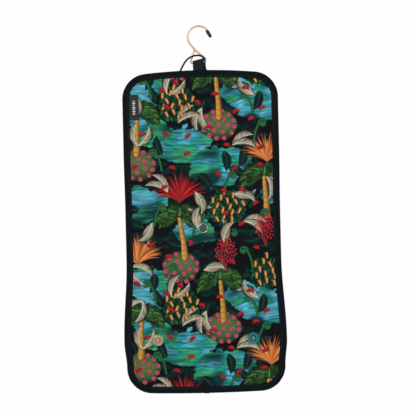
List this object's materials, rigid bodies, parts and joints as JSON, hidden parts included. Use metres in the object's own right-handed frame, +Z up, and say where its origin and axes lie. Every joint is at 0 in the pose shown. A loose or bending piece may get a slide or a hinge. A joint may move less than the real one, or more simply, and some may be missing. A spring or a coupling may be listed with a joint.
{
  "type": "hanging toiletry bag",
  "caption": "Fold-up hanging toiletry bag with a wire hook, padded printed panels, taped edges, zipped inner pockets and magnetic snaps.",
  "frame": {"origin": "the hook's inner apex, where a rail or peg touches it", "axes": "+Z up; -Y is the way the printed face looks, +Y the way the pockets look; +X to the right as seen from the printed face"},
  "size_m": [0.257, 0.021, 0.581],
  "materials": {
    "printed_canvas": "coated canvas with a dense leaf and flower print on charcoal",
    "black_binding": "ribbed polyester tape, stitched",
    "nylon_lining": "plain nylon taffeta",
    "foam": "soft foam padding",
    "mesh_net": "open polyester netting",
    "clear_pvc": "clear soft vinyl",
    "zip_tape": "woven zip tape",
    "zip_coil": "nylon coil",
    "gold_metal": "polished pale gold plate",
    "steel": "plain washers",
    "black_rubber": "dipped rubber tip",
    "elastic": "braided round elastic",
    "webbing": "narrow woven webbing",
    "label": null,
    "teal_film": "glossy protective film",
    "enamel": "glossy domed enamel"
  },
  "bodies": {
    "hook": {"hook_wire": "gold_metal", "hook_tip": "black_rubber"},
    "upper_panel": {"upper_cover": "printed_canvas", "upper_foam": "foam", "upper_lining": "nylon_lining", "upper_binding": "black_binding", "strap_loop": "webbing", "elastic_loop": "elastic", "woven_label": "label", "upper_pocket_gusset": "nylon_lining", "upper_pocket_front": "nylon_lining", "upper_zip_tape": "zip_tape", "upper_zip_teeth": "zip_coil", "flap_snap_left": "gold_metal", "flap_snap_right": "gold_metal", "flap_snap_washers": "steel"},
    "upper_slider": {"upper_zip_slider": "gold_metal"},
    "upper_pull": {"upper_zip_pull": "gold_metal"},
    "upper_spine": {"upper_spine_cover": "printed_canvas", "upper_spine_foam": "foam", "upper_spine_lining": "nylon_lining", "upper_spine_binding": "black_binding"},
    "middle_panel": {"middle_cover": "printed_canvas", "middle_foam": "foam", "middle_lining": "nylon_lining", "middle_binding": "black_binding", "stud_cap": "gold_metal", "stud_dome": "enamel", "stud_post": "gold_metal"},
    "pouch": {"pouch_back": "nylon_lining", "pouch_gusset": "clear_pvc", "pouch_window": "clear_pvc", "pouch_binding": "black_binding", "pouch_stud_socket": "gold_metal", "pouch_zip_tape": "zip_tape", "pouch_zip_teeth": "zip_coil"},
    "pouch_slider": {"pouch_zip_slider": "gold_metal"},
    "pouch_pull": {"pouch_zip_pull": "gold_metal"},
    "lower_spine": {"lower_spine_cover": "printed_canvas", "lower_spine_foam": "foam", "lower_spine_lining": "nylon_lining", "lower_spine_binding": "black_binding"},
    "lower_panel": {"lower_cover": "printed_canvas", "lower_foam": "foam", "lower_lining": "nylon_lining", "lower_binding": "black_binding", "snap_left": "gold_metal", "snap_right": "gold_metal", "snap_right_film": "teal_film", "snap_washers": "steel", "lower_pocket_gusset": "nylon_lining", "lower_pocket_front": "mesh_net", "lower_zip_tape": "zip_tape", "lower_zip_teeth": "zip_coil"},
    "lower_slider": {"lower_zip_slider": "gold_metal"},
    "lower_pull": {"lower_zip_pull": "gold_metal"}
  },
  "joints": [
    {"name": "hook_pivot", "type": "hinge", "parent": "upper_panel", "child": "hook", "pos_m": [-0.0017, 0, -0.05387], "axis": [-0.974, 0, -0.2265], "range_deg": [-100, 20], "deforming": ["elastic_loop"]},
    {"name": "upper_fold", "type": "hinge", "parent": "upper_panel", "child": "upper_spine", "pos_m": [0, 0.0025, -0.201], "axis": [1, 0, 0], "range_deg": [0, 90]},
    {"name": "upper_spine_fold", "type": "hinge", "parent": "upper_spine", "child": "middle_panel", "pos_m": [0, 0.0025, -0.236], "axis": [1, 0, 0], "range_deg": [0, 90]},
    {"name": "lower_fold", "type": "hinge", "parent": "middle_panel", "child": "lower_spine", "pos_m": [0, 0.0025, -0.398], "axis": [1, 0, 0], "range_deg": [0, 90]},
    {"name": "lower_spine_fold", "type": "hinge", "parent": "lower_spine", "child": "lower_panel", "pos_m": [0, 0.0025, -0.418], "axis": [1, 0, 0], "range_deg": [0, 90]},
    {"name": "pouch_release", "type": "slide", "parent": "middle_panel", "child": "pouch", "axis": [0, -1, 0], "range_m": [-0.06, 0]},
    {"name": "upper_zip", "type": "slide", "parent": "upper_panel", "child": "upper_slider", "axis": [1, 0, 0], "range_m": [-0.182, 0]},
    {"name": "pouch_zip", "type": "slide", "parent": "pouch", "child": "pouch_slider", "axis": [1, 0, 0], "range_m": [-0.182, 0]},
    {"name": "lower_zip", "type": "slide", "parent": "lower_panel", "child": "lower_slider", "axis": [1, 0, 0], "range_m": [-0.182, 0]},
    {"name": "upper_pull_flip", "type": "hinge", "parent": "upper_slider", "child": "upper_pull", "pos_m": [0.091, 0.0097, -0.148], "axis": [1, 0, 0], "range_deg": [0, 180]},
    {"name": "pouch_pull_flip", "type": "hinge", "parent": "pouch_slider", "child": "pouch_pull", "pos_m": [0.091, 0.0127, -0.268], "axis": [1, 0, 0], "range_deg": [0, 180]},
    {"name": "lower_pull_flip", "type": "hinge", "parent": "lower_slider", "child": "lower_pull", "pos_m": [0.091, 0.0127, -0.452], "axis": [1, 0, 0], "range_deg": [0, 180]}
  ],
  "couplings": [
    {"joint": "upper_spine_fold", "follows": "upper_fold", "ratio": 1},
    {"joint": "lower_spine_fold", "follows": "lower_fold", "ratio": 1}
  ]
}
